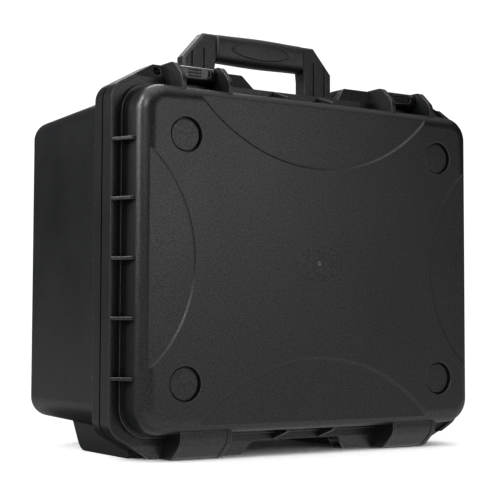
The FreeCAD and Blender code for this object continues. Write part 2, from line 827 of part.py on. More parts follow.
def make_base():
    """The deep moulded base: flange, walls, latch ears, handle lugs and the feet it stands on."""
    body = new_body("base_shell")
    sketch = new_sketch(body, "base_flange", "XZ_Plane", -1 * half_gap)
    add_outline(sketch, flange_outline())
    pad(body, sketch, d.base_band - half_gap, reverse=True)

    sketch = new_sketch(body, "base_channel", "XZ_Plane", -1 * d.base_band)
    add_outline(sketch, channel_outline())
    pocket(body, sketch, d.lip_height, reverse=True)
    pocket(body, latch_notches(body, -1 * d.base_band), d.base_band, reverse=True)
    hinge_relief(body)
    padlock_holes(body, -1 * d.base_band, d.base_band, True)

    sketch = new_sketch(body, "base_shoulder", "XZ_Plane", -1 * half_gap)
    margin = d.shoulder_width
    add_outline(sketch, rectangle(half_body_x + margin, half_body_z + margin, d.body_corner_r + margin))
    pad(body, sketch, d.base_band + d.shoulder_rise - half_gap, reverse=True)

    sketch = new_sketch(body, "base_body", "XZ_Plane", -1 * half_gap)
    add_outline(sketch, rectangle(half_body_x, half_body_z, d.body_corner_r))
    pad(body, sketch, d.base_depth - half_gap, reverse=True, taper=tapered(d.base_draft))

    sketch = new_sketch(body, "base_cavity", "XZ_Plane", -1 * half_gap)
    add_outline(sketch, cavity_outline(d.base_wall))
    depth = d.base_depth - d.base_wall
    pocket(body, sketch, depth - half_gap, taper=tapered(d.base_draft))
    bevel_edges(body, "base_inner_edge", d.inner_edge_bevel, edge_lies_at(depth))
    round_edges(body, "base_edge", d.base_edge_r, edge_lies_at(d.base_depth))

    sketch = new_sketch(body, "base_ring", "XZ_Plane", d.overrun - d.base_depth)
    for x in (-1, 1):
        for z in (-1, 1):
            x_at = x * d.recess_spacing_x / 2
            z_at = z * d.recess_spacing_z / 2
            add_circle(sketch, x_at, z_at, d.recess_d / 2 - d.stack_ring_gap)
            add_circle(sketch, x_at, z_at, d.recess_disc_d / 2 + d.stack_ring_gap)
    pad(body, sketch, d.stack_ring_height + d.overrun, reverse=True)

    sketch = new_sketch(body, "base_tongue", "XZ_Plane", -1 * half_gap)
    for out in (tongue_in, tongue_in + d.tongue_width):
        add_outline(sketch, rectangle(groove_in_x + out, groove_in_z + out, groove_in_r + out))
    pad(body, sketch, tongue_height)

    join(body, base_fittings())
    sketch = new_sketch(body, "base_vent_hole", "XY_Plane", vent_top_z)
    add_circle(sketch, 0, d.vent_y, d.vent_hole_d / 2)
    pocket(body, sketch, d.vent_boss_height)
    return body


def base_fittings():
    """The base's gussets, latch ears, handle lugs, rear feet, hinge knuckles and vent boss."""
    body = new_fittings("base_fittings")
    root = half_body_z - d.base_wall
    add_gussets(body, "base", 1, d.base_band, base_plate, d.base_wall)

    front = base_plate - d.web_root
    sketch = new_sketch(body, "base_foot", "YZ_Plane", d.foot_inner_x)
    add_outline(sketch, [
        (front, -1 * root, 0),
        (front, -1 * bump_z, 0),
        (d.foot_back_y, -1 * bump_z, d.foot_round),
        (d.foot_depth, -1 * root, 0),
    ])
    foot = pad(body, sketch, d.foot_outer_x - d.foot_inner_x)
    repeated(body, "base_feet", foot, [MIRROR_X])
    sketch = new_sketch(body, "base_foot_hollow", "XY_Plane", -1 * bump_z)
    low = d.base_band + d.foot_wall
    high = d.foot_back_y - d.foot_round + d.foot_wall
    middle = (d.foot_inner_x + d.foot_outer_x) / 2
    for side in (-1, 1):
        near = side * (d.foot_inner_x + d.foot_wall)
        far = side * (d.foot_outer_x - d.foot_wall)
        add_outline(sketch, box_corners(near, side * (middle - d.foot_wall / 2), low, high))
        add_outline(sketch, box_corners(side * (middle + d.foot_wall / 2), far, low, high))
    pocket(body, sketch, d.foot_hollow, reverse=True)

    sketch = new_sketch(body, "base_ear", "YZ_Plane", ear_in)
    add_outline(sketch, [
        (base_plate / 2, root, 0),
        (base_plate / 2, ear_top, 0),
        (d.base_ear_back_y, ear_top, d.base_ear_r),
        (d.base_ear_back_y, root, 0),
    ])
    ear = pad(body, sketch, d.ear_thickness)
    repeated(body, "base_ears", ear, [("row", "X_Axis", ear_pitch, 2), MIRROR_X])
    bore_along_x(body, "base_latch_bore", d.latch_pivot_y, d.latch_pivot_z, d.latch_pin_d, 0, bore_half)

    sketch = new_sketch(body, "base_lug", "YZ_Plane", lug_in)
    top = d.handle_pivot_z + d.lug_r
    round_r = d.lug_r * knuckle_round_share
    add_outline(sketch, [
        (d.handle_pivot_y - d.lug_r, root, 0),
        (d.handle_pivot_y - d.lug_r, top, round_r),
        (d.handle_pivot_y + d.lug_r, top, round_r),
        (d.handle_pivot_y + d.lug_r, root, 0),
    ])
    lug = pad(body, sketch, d.lug_thickness)
    repeated(body, "base_lugs", lug, [("row", "X_Axis", lug_pitch, 2), MIRROR_X])
    bore_along_x(body, "base_handle_bore", d.handle_pivot_y, d.handle_pivot_z, d.handle_pin_d, 0, bore_half)

    start = ear_in + lid_knuckle + d.knuckle_gap
    first = knuckle(body, "base_knuckle", web_y, -1 * d.knuckle_r, start, base_knuckle)
    repeated(body, "base_knuckles", first, [MIRROR_X])
    bore_along_x(body, "base_pin_bore", 0, hinge_z, d.hinge_pin_d, 0, bore_half)

    sketch = new_sketch(body, "base_vent_boss", "XY_Plane", vent_low_z)
    add_outline(sketch, polygon(0, d.vent_y, d.vent_boss_width / 2, 6))
    pad(body, sketch, d.vent_boss_height)
    return body


def make_cylinder_x(label, y, z, diameter, start, length):
    body = new_body(label)
    sketch = new_sketch(body, label + "_round", "YZ_Plane", start)
    add_circle(sketch, y, z, diameter / 2)
    pad(body, sketch, length)
    return body


def make_pins():
    """Steel pins of the two hinges, the two latches and the two ends of the handle."""
    pins = []
    for side, word in ((-1, "left"), (1, "right")):
        for name, y, z, size, start, length in (
            ("hinge_pin_", 0, hinge_z, d.hinge_pin_d, ear_in, hinge_length),
            ("latch_pin_", d.latch_pivot_y, d.latch_pivot_z, d.latch_pin_d, ear_in, hinge_length),
            ("handle_pin_", d.handle_pivot_y, d.handle_pivot_z, d.handle_pin_d, lug_in, lug_length),
        ):
            from_x = start if side > 0 else -1 * (start + length)
            pins.append(make_cylinder_x(name + word, y, z, size, from_x, length))
    return pins


def make_seal():
    """The rubber ring that lies in the lid's groove under the base's tongue."""
    body = new_body("lid_seal")
    sketch = new_sketch(body, "seal_ring", "XZ_Plane", half_gap + d.groove_depth - d.seal_height)
    for out in (d.seal_side_gap, d.seal_side_gap + d.seal_width):
        add_outline(sketch, rectangle(groove_in_x + out, groove_in_z + out, groove_in_r + out))
    pad(body, sketch, d.seal_height)
    return body


def make_latch(word, side):
    """A pull latch: barrel on its pin, plate over both flanges, and a hooked nose."""
    body = new_body("latch_" + word)
    sketch = new_sketch(body, "latch_%s_side" % word, "YZ_Plane", side * d.latch_x)
    under = half_flange_z + d.latch_float
    catch_y = -1 * (lid_plate + d.latch_catch_gap)
    nose_y = catch_y - d.latch_nose
    back_y = d.latch_pivot_y + d.latch_boss_r
    low = d.latch_pivot_z - d.latch_boss_r
    boss_round = d.latch_boss_r * knuckle_round_share
    step_y = d.base_band + d.latch_float
    add_outline(sketch, [
        (nose_y, d.latch_hook_z, d.latch_nose_r),
        (catch_y, d.latch_hook_z, 0),
        (catch_y, under, 0),
        (step_y, under, 0),
        (step_y + under - low, low, 0),
        (back_y, low, boss_round),
        (back_y, d.latch_pivot_z + d.latch_boss_r, boss_round),
        (nose_y, d.latch_pivot_z + d.latch_boss_r, d.latch_nose_r),
    ])
    pad(body, sketch, d.latch_width, middle=True)
    sketch = new_sketch(body, "latch_%s_scoop" % word, "XZ_Plane", -1 * nose_y)
    scoop_x = d.scoop_width / 2
    scoop_z = d.scoop_height / 2
    scoop_r = scoop_z * knuckle_round_share
    middle_x = side * d.latch_x
    add_outline(sketch, [
        (middle_x - scoop_x, d.scoop_z - scoop_z, scoop_r),
        (middle_x + scoop_x, d.scoop_z - scoop_z, scoop_r),
        (middle_x + scoop_x, d.scoop_z + scoop_z, scoop_r),
        (middle_x - scoop_x, d.scoop_z + scoop_z, scoop_r),
    ])
    pocket(body, sketch, d.scoop_depth)
    bore_along_x(
        body, "latch_%s_bore" % word, d.latch_pivot_y, d.latch_pivot_z, d.latch_pin_d, d.running_gap, bore_half
    )
    return body


def make_handle():
    """The handle's frame: two arms on their pins and the crossbar that carries the grip."""
    body = new_body("handle_frame")
    sketch = new_sketch(body, "handle_front", "XZ_Plane", -1 * d.handle_pivot_y)
    step_x = d.grip_length / 2 + d.grip_end_gap
    bar_top = crossbar_z + d.crossbar_height / 2
    bar_low = crossbar_z - d.crossbar_height / 2
    half = [
        (step_x, bar_low, 0),
        (arm_inner_x, d.handle_inner_z, 0),
        (arm_inner_x, d.handle_pivot_z, 0),
        (handle_half, d.handle_pivot_z, 0),
        (handle_half, d.handle_shoulder_z, 0),
        (d.handle_shoulder_x, d.handle_top_z, 0),
        (step_x, d.handle_top_z, 0),
        (step_x, bar_top, 0),
    ]
    add_outline(sketch, half + with_signs(half, -1, 1))
    pad(body, sketch, d.handle_thickness, middle=True)
    half_y = d.handle_thickness / 2
    for side in (-1, 1):
        bevel_edges(
            body,
            "handle_bevel_%s" % ("front" if side < 0 else "back"),
            d.arm_bevel,
            edge_on_arm_outside(d.handle_pivot_y + side * half_y),
        )
    sketch = new_sketch(body, "handle_foot", "YZ_Plane", arm_inner_x)
    add_circle(sketch, d.handle_pivot_y, d.handle_pivot_z, d.foot_r)
    foot = pad(body, sketch, d.arm_width)
    repeated(body, "handle_feet", foot, [MIRROR_X])
    sketch = new_sketch(body, "handle_slots", "XZ_Plane", half_y - d.handle_pivot_y)
    slot_r = d.slot_width / 2 * knuckle_round_share
    slot_low = d.handle_pivot_z + d.foot_r
    for side in (-1, 1):
        for x, top in (
            (d.slot_inner_x, d.slot_inner_top_z),
            (d.slot_outer_x, d.slot_outer_top_z),
        ):
            near = side * x - d.slot_width / 2
            far = side * x + d.slot_width / 2
            add_outline(sketch, [
                (near, slot_low, 0),
                (far, slot_low, 0),
                (far, top, slot_r),
                (near, top, slot_r),
            ])
    pocket(body, sketch, d.slot_depth)
    bore_along_x(
        body, "handle_bore", d.handle_pivot_y, d.handle_pivot_z, d.handle_pin_d, d.running_gap, bore_half
    )
    return body


def make_grip():
    """The thick sleeve on the crossbar, with an oval inset on its front."""
    body = new_body("handle_grip")
    sketch = new_sketch(body, "grip_section", "YZ_Plane", 0)
    for half_y, half_z, r in (
        (d.grip_thickness / 2, d.grip_height / 2, d.grip_corner_r),
        (d.handle_thickness / 2 + d.grip_bore_gap, d.crossbar_height / 2 + d.grip_bore_gap, 0),
    ):
        y_low = d.handle_pivot_y - half_y
        y_high = d.handle_pivot_y + half_y
        z_low = crossbar_z - half_z
        z_high = crossbar_z + half_z
        add_outline(sketch, [(y_low, z_low, r), (y_high, z_low, r), (y_high, z_high, r), (y_low, z_high, r)])
    pad(body, sketch, d.grip_length, middle=True)
    sketch = new_sketch(body, "grip_inset", "XZ_Plane", d.grip_thickness / 2 - d.handle_pivot_y)
    add_ellipse(sketch, 0, crossbar_z, d.grip_inset_width, d.grip_inset_height)
    pocket(body, sketch, d.grip_inset_depth)
    return body


def stacked(body, name, low_z, height, diameters):
    """A pad about the vent's axis from low_z upwards; a second diameter is a hole through it."""
    sketch = new_sketch(body, name, "XY_Plane", low_z)
    for diameter in diameters:
        add_circle(sketch, 0, d.vent_y, diameter / 2)
    return pad(body, sketch, height)


def vent_prism(body, name, low_z, height, width, bore=None):
    """A hexagonal pad about the vent's axis, with a round bore where one is given."""
    sketch = new_sketch(body, name, "XY_Plane", low_z)
    add_outline(sketch, polygon(0, d.vent_y, width / 2, 6))
    if bore:
        add_circle(sketch, 0, d.vent_y, bore / 2)
    return pad(body, sketch, height)


def make_vent():
    """The pressure vent: threaded body with a hexagonal head, seal, nut, membrane and a slotted cap."""
    seat_z = vent_top_z + d.vent_seal_height
    head_z = seat_z + d.vent_head_height
    low_z = vent_low_z - d.vent_nut_height - d.vent_membrane_height
    vent = new_body("vent_body")
    stem_d = d.vent_hole_d - 2 * d.vent_hole_gap
    stacked(vent, "vent_stem", low_z, seat_z - low_z, [stem_d, d.vent_bore_d])
    vent_prism(vent, "vent_head", seat_z, d.vent_head_height, d.vent_head_width, d.vent_bore_d)

    membrane = new_body("vent_membrane")
    stacked(membrane, "membrane", head_z, d.vent_membrane_height, [d.vent_membrane_d])

    cap = new_body("vent_cap")
    vent_prism(cap, "cap_block", head_z, d.vent_cap_height, d.vent_cap_width)
    room = d.vent_cap_height - d.vent_cap_skin
    sketch = new_sketch(cap, "cap_room", "XY_Plane", head_z)
    add_outline(sketch, polygon(0, d.vent_y, d.vent_cap_width / 2 - d.vent_cap_skin, 6))
    pocket(cap, sketch, room, reverse=True)
    sketch = new_sketch(cap, "cap_slots", "XY_Plane", head_z)
    reach = d.vent_cap_width / 2 + d.overrun
    near = d.vent_y - d.vent_slot_width / 2
    far = d.vent_y + d.vent_slot_width / 2
    add_outline(sketch, box_corners(-1 * reach, reach, near, far))
    pocket(cap, sketch, room, reverse=True)

    seal = new_body("vent_seal")
    stacked(seal, "vent_seal_ring", vent_top_z, d.vent_seal_height, [d.vent_seal_d, stem_d])

    nut = new_body("vent_nut")
    vent_prism(nut, "vent_nut_hex", vent_low_z - d.vent_nut_height, d.vent_nut_height, d.vent_nut_width, stem_d)
    return [vent, cap, seal, nut, membrane]


# Build, check and write every piece
def main():
    pieces = [make_lid(), make_base(), make_seal(), make_latch("left", -1), make_latch("right", 1)]
    pieces += [make_handle(), make_grip()] + make_pins() + make_vent()
    doc.recompute()
    for thing in doc.Objects:
        if "Invalid" in thing.State or "Error" in thing.State:
            raise RuntimeError(thing.Name + " is in error")
    os.makedirs("parts", exist_ok=True)
    for piece in pieces:
        if piece.Shape.isNull() or not piece.Shape.isValid():
            raise RuntimeError(piece.Label + " has no valid shape")
        piece.Shape.exportStep("parts/%s.step" % piece.Label)


main()
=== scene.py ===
import json
import math

import bpy
import numpy as np
from bpy.props import FloatProperty, FloatVectorProperty, IntProperty, PointerProperty
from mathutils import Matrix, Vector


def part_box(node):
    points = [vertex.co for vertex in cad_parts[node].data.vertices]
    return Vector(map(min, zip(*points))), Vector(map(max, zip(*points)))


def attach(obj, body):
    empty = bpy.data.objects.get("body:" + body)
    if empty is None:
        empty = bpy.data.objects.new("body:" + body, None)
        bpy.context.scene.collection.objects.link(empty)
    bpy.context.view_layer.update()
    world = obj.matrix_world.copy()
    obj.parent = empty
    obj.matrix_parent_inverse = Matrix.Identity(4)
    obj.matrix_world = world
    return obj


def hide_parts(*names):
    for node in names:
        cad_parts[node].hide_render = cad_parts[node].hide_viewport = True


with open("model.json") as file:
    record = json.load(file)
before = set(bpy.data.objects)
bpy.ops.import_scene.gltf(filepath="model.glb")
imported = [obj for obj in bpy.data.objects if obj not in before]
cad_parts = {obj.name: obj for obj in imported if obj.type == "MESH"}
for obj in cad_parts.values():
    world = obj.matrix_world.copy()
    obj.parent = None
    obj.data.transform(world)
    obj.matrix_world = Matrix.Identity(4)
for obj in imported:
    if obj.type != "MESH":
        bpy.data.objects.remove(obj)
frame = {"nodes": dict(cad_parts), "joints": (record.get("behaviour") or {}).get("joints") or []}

bl_info = {
    "name": "Hard case finish",
    "version": (1, 0, 0),
    "blender": (4, 5, 0),
    "location": "View3D > Sidebar > Hard case",
    "description": "Moulded finishes, small trim and a plain studio for a hinged equipment case",
    "category": "Object",
}

LID_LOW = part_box("lid_shell")[0]
BASE_LOW, BASE_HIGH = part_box("base_shell")
GRIP_LOW, GRIP_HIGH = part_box("handle_grip")
SEAM_Y = next(joint["pos_m"][1] for joint in frame["joints"] if joint["name"] == "lid_hinge")


def linear(srgb):
    """The linear colour of an sRGB hex value such as #1c1d1f, with an alpha of 1."""
    parts = (int(srgb[k:k + 2], 16) / 255 for k in (1, 3, 5))
    return (*(p / 12.92 if p <= 0.04045 else ((p + 0.055) / 1.055) ** 2.4 for p in parts), 1)


def colour(name, description, srgb):
    return FloatVectorProperty(
        name=name, description=description, subtype="COLOR", size=4, min=0, max=1, default=linear(srgb)
    )


def length(name, description, millimetres):
    return FloatProperty(
        name=name, description=description, unit="LENGTH", subtype="DISTANCE", default=millimetres / 1000
    )


def amount(name, description, default, unit="NONE"):
    return FloatProperty(name=name, description=description, unit=unit, default=default, min=0)


class CaseFinish(bpy.types.PropertyGroup):
    """Colours and pattern sizes of the materials"""

    shell_valley: colour("Shell valley", "Moulded shell between the grains", "#08090a")
    shell_crest: colour("Shell crest", "Moulded shell on the grains", "#191a1c")
    # Painted highlight: the pale tone along the outer edges of shells, handle frame and vent, and of the gate
    # mark's pebbles
    shell_edge_highlight: colour("Shell edge", "Burnished edges of the shells", "#404145")
    # Painted highlight: the pale tone on the edges of the gate's mark
    gate_rim_highlight: colour("Gate mark", "Stressed plastic on the rim of the gate's mark", "#8f9092")
    latch_dark: colour("Latch", "Smooth moulded latch, and the vent between its grains", "#070708")
    latch_light: colour("Latch crest", "Latch on its grains", "#101011")
    # Painted highlight: the pale tone along the latches' outer edges
    latch_edge_highlight: colour("Latch edge", "Burnished edges of the latches", "#4b4c4f")
    grip_dark: colour("Grip", "Soft grip between the grains", "#141516")
    grip_light: colour("Grip crest", "Soft grip on the grains", "#2a2b2d")
    # Painted highlight: the pale tone along the grip's outer edges
    grip_edge_highlight: colour("Grip edge", "Worn edges of the grip", "#3c3d3f")
    rubber_dark: colour("Seal", "Rubber of the seals", "#101010")
    rubber_light: colour("Seal bloom", "Pale bloom on the rubber", "#2b2b2a")
    steel_bright: colour("Steel", "Ground steel of the pins", "#b9bcc0")
    steel_dull: colour("Steel scratches", "Duller scratches round the pins", "#8d9095")
    membrane_pale: colour("Membrane", "Pale membrane of the vent", "#d9dad6")
    membrane_shade: colour("Membrane shade", "Membrane between its fibres", "#b4b6b2")
    # Real grains are finer, by estimate 0.4 mm apart, and are drawn coarser so that they show in the render
    grain: length("Grain", "Distance between the grains of the moulded shells", 1.0)
    grain_height: length("Grain height", "Height of the shells' grains", 0.05)
    flow: length("Flow marks", "Size of the broad flow marks in the mouldings", 90.0)
    # The seam's dark groove is painted shade
    seam_shade_reach: length("Seam reach", "How far the dark groove at the parting plane reaches up each wall", 1.7)
    edge_round: length("Edge round", "Rounding that moulded edges show in the light", 1.2)
    bloom: length("Bloom", "Size of the patches of bloom on the rubber", 30.0)
    # Real skin is finer than this, and is drawn coarser so that it shows
    rubber_skin: length("Rubber skin", "Distance between the bumps of the rubber's skin", 1.2)
    # The scratches lie a sixth of this apart. Real ones are finer, and are drawn coarser so that they show.
    scratch: length("Scratch", "Size of the steel's scratches before they are drawn out round the pin", 1.8)
    # Real threads are finer, by estimate 0.2 mm apart, and are drawn coarser so that they show
    thread: length("Thread", "Size of the weave behind the membrane", 1.2)
    membrane_cloud: length("Membrane cloud", "Size of the membrane's cloudy patches", 4.0)


class CaseTrim(bpy.types.PropertyGroup):
    """Places and sizes of the small trim"""

    badge_height: length("Badge height", "Height of the badge recess over the floor", 203.0)
    badge_depth: length("Badge depth", "Depth of the badge recess behind the lid's face", 0.8)
    gate_across: length("Gate mark", "Diameter of the moulding gate's mark in the badge recess", 4.0)
    gate_rise: length("Gate rise", "How far the gate's mark stands out of the recess", 0.9)
    gate_root: length("Gate root", "How far the rim of the gate's mark goes into the lid's wall", 0.2)
    latch_middle: length("Latch middle", "Distance of each latch's middle from the case's middle", 135.7)
    scoop_middle: length("Scoop middle", "Height of the latch's finger scoop over the floor", 399.5)
    scoop_depth: length("Scoop depth", "Depth of the scoop's floor behind the latch's front", 2.5)
    rib_length: length("Rib length", "Length of a grip rib in the latch's finger scoop", 17.0)
    rib_pitch: length("Rib pitch", "Distance between the ribs in the scoop", 3.2)
    rib_across: length("Rib width", "Width of a grip rib", 1.5)
    rib_rise: length("Rib rise", "How far a rib stands over the scoop's floor", 1.0)
    ribs: IntProperty(name="Ribs", description="Number of ribs in each scoop", default=3, min=1, max=5)
    grip_sag: length("Grip waist", "How much slimmer the grip is at its ends than at its middle", 1.0)
    grip_end: length("Grip end", "Rounding of the grip's ends", 3.2)
    bore_depth: length("Bore depth", "Half the size of the grip's bore from front to back", 9.1)
    bore_height: length("Bore height", "Half the size of the grip's bore from bottom to top", 11.1)
    inset_width: length("Inset width", "Width of the oval inset of the grip", 77.0)
    inset_height: length("Inset height", "Height of the oval inset of the grip", 19.0)
    inset_depth: length("Inset depth", "Depth of the line round the oval inset", 0.8)
    inset_line: amount("Inset line", "Half width of that line as a share of the oval's half size", 0.09)
    inset_floor: amount("Inset floor", "Depth of the oval inside the line as a share of the line's depth", 0.35)


class CaseStudio(bpy.types.PropertyGroup):
    """Floor, room, lights and lens"""

    paper: colour("Paper", "Pale paper of the floor", "#f4f4f3")
    paper_shade: colour("Paper shade", "Slightly darker fibres of the floor's paper", "#eeeeec")
    mottle: length("Mottle", "Size of the mottle in the paper", 350.0)
    floor_across: FloatProperty(
        name="Floor", description="Width of the floor", unit="LENGTH", subtype="DISTANCE", default=60.0
    )
    shade_reach: length("Shade reach", "How far from the case the floor can show its soft shade", 250.0)
    shade_low: amount("Full shade", "Open share of the sky at which the floor is fully seen", 0.05)
    shade_high: amount("No shade", "Open share of the sky from which the floor runs into the background", 0.75)
    # The dark card is painted shade: it stands for the floor's shadow under the case, in the case's shine
    card_rim: length("Card rim", "How far the dark card under the case, seen only in its shine, passes it", 45.0)
    surround: amount("Surround", "Brightness of the dim room round the case", 0.01)
    ceiling: amount("Ceiling", "Brightness of the pale ceiling, above and to the left", 2.4)
    front_glow: amount("Front glow", "Brightness of the floor before the case, in the case's shine", 1.0)
    deep_glow: amount("Deep glow", "Further brightness of the floor close under the case, in its shine", 0.2)
    back_glow: amount("Back glow", "Brightness of the floor behind the case, in the case's shine", 0.36)
    background: amount("Background", "Brightness of the pale background", 1.1)
    face_light: amount("Face light", "Power of the soft light whose shine lies on the lid's face", 7.0, "POWER")
    edge_light: amount("Edge light", "Power of the light whose shine runs along the left edge", 40.0, "POWER")
    wall_light: amount("Wall light", "Power of the long light over the left wall", 80.0, "POWER")
    side_light: amount("Side light", "Power of the low light behind the left wall", 6.0, "POWER")
    back_light: amount("Back light", "Power of the soft light behind the case", 22.0, "POWER")
    lens: FloatProperty(
        name="Lens", description="Focal length of the camera", unit="CAMERA", subtype="DISTANCE_CAMERA",
        default=93.86,
    )


# Materials

WHITE, THREAD_GREY, BLACK = (1, 1, 1, 1), (0.7, 0.7, 0.7, 1), (0, 0, 0, 1)
NOISE = (0.3, 0.7)  # nearly all of a noise texture lies between these
EDGE_TURN = (0.995, 0.88)  # cosine of the rounded normal's turn, on a flat face and on an outer edge
HOLLOW_REACH = 1.6  # how far round a place hollows are looked for, in roundings of an edge
OPEN_SKY = (0.45, 0.9)  # open share of the sky, in a hollow and on an open face
WALL_TURN = (0.3, 0.7)  # part of a face's normal along the parting direction, on a wall and on a rim
PEBBLE = (0.05, 0.75)  # distance from the middle of a cell, at a pebble's top and at its foot
FINE_SIZE, FINE_HEIGHT = 0.45, 0.8  # size and height of the fine grain, as shares of the pebbles'
RELIEF = (0.5, 1.5)  # height of pebbles and fine grain together, in a pit and on a crest
CLOUDING = (0.8, 1.2)  # what the flow marks make of a tone
SPECK_SIZE = 1.7  # size of the specks in the shine, as a share of the pebbles'
SPECKLE = (0.62, 1.38)  # what the specks make of the shine
HOLLOW_SHINE = 0.15  # what painted shade in a hollow leaves of the shine
FLOW_DULLING = (-0.03, 0.03)  # what the flow marks add to the roughness
POLISH = 0.08  # what is taken off the roughness of an outer edge, along with its painted highlight


def feed(node, inputs):
    """Gives a node's inputs, by name or in order, a plain value each or the output that they come from."""
    for word, value in inputs.items() if isinstance(inputs, dict) else enumerate(inputs):
        if isinstance(value, bpy.types.NodeSocket):
            node.id_data.links.new(value, node.inputs[word])
        else:
            node.inputs[word].default_value = value


def add_node(tree, kind, inputs=(), output=0, **settings):
    """Adds a node with its settings and links, and gives one of its outputs, or for None the node itself."""
    node = tree.nodes.new(kind)
    for word, value in settings.items():
        setattr(node, word, value)
    feed(node, inputs)
    return node if output is None else node.outputs[output]


def new_material(name):
    """A material with its node tree, its shader and the place on the piece, in the object's coordinates."""
    material = bpy.data.materials.new(name)
    material.use_nodes = True
    tree = material.node_tree
    tree.nodes.clear()
    shader = add_node(tree, "ShaderNodeBsdfPrincipled", output=None)
    add_node(tree, "ShaderNodeOutputMaterial", {"Surface": shader.outputs["BSDF"]}, None)
    place = add_node(tree, "ShaderNodeTexCoord", output="Object")
    return material, tree, shader, place


def edge_shares(tree, reach):
    """A rounded normal, a share that rises from 0 on flat faces to 1 on outer edges, where a highlight is painted,
    and a share that falls from 1 on open faces to 0 in grooves, small holes and inner corners, where shade is
    painted."""
    soft = add_node(tree, "ShaderNodeBevel", {"Radius": reach}, samples=6)
    true = add_node(tree, "ShaderNodeNewGeometry", output="Normal")
    facing = add_node(tree, "ShaderNodeVectorMath", (soft, true), "Value", operation="DOT_PRODUCT")
    turned = add_node(tree, "ShaderNodeMapRange", (facing, *EDGE_TURN, 0, 1))
    sky = add_node(tree, "ShaderNodeAmbientOcclusion", {"Distance": HOLLOW_REACH * reach}, "AO", samples=6)
    unshaded_share = add_node(tree, "ShaderNodeMapRange", (sky, *OPEN_SKY, 0, 1))
    return soft, add_node(tree, "ShaderNodeMath", (turned, unshaded_share), operation="MULTIPLY"), unshaded_share


def seam_shade_share(tree, place, reach):
    """Painted shade of the groove that the rounded rims of lid and base leave at the parting plane: 0 on the walls
    up to half the reach from the plane, and 1 from the reach on and on faces that look along the parting
    direction."""
    along = add_node(tree, "ShaderNodeSeparateXYZ", (place,), "Y")
    offset = add_node(tree, "ShaderNodeMath", (along, SEAM_Y), operation="SUBTRACT")
    away = add_node(tree, "ShaderNodeMath", (offset,), operation="ABSOLUTE")
    near = add_node(tree, "ShaderNodeMapRange", (away, 0.5 * reach, reach, 1, 0))
    facing = add_node(tree, "ShaderNodeTexCoord", output="Normal")
    forward = add_node(tree, "ShaderNodeSeparateXYZ", (facing,), "Y")
    turned = add_node(tree, "ShaderNodeMath", (forward,), operation="ABSOLUTE")
    wall = add_node(tree, "ShaderNodeMapRange", (turned, *WALL_TURN, 1, 0))
    groove = add_node(tree, "ShaderNodeMath", (near, wall), operation="MULTIPLY")
    return add_node(tree, "ShaderNodeMath", (1, groove), operation="SUBTRACT")


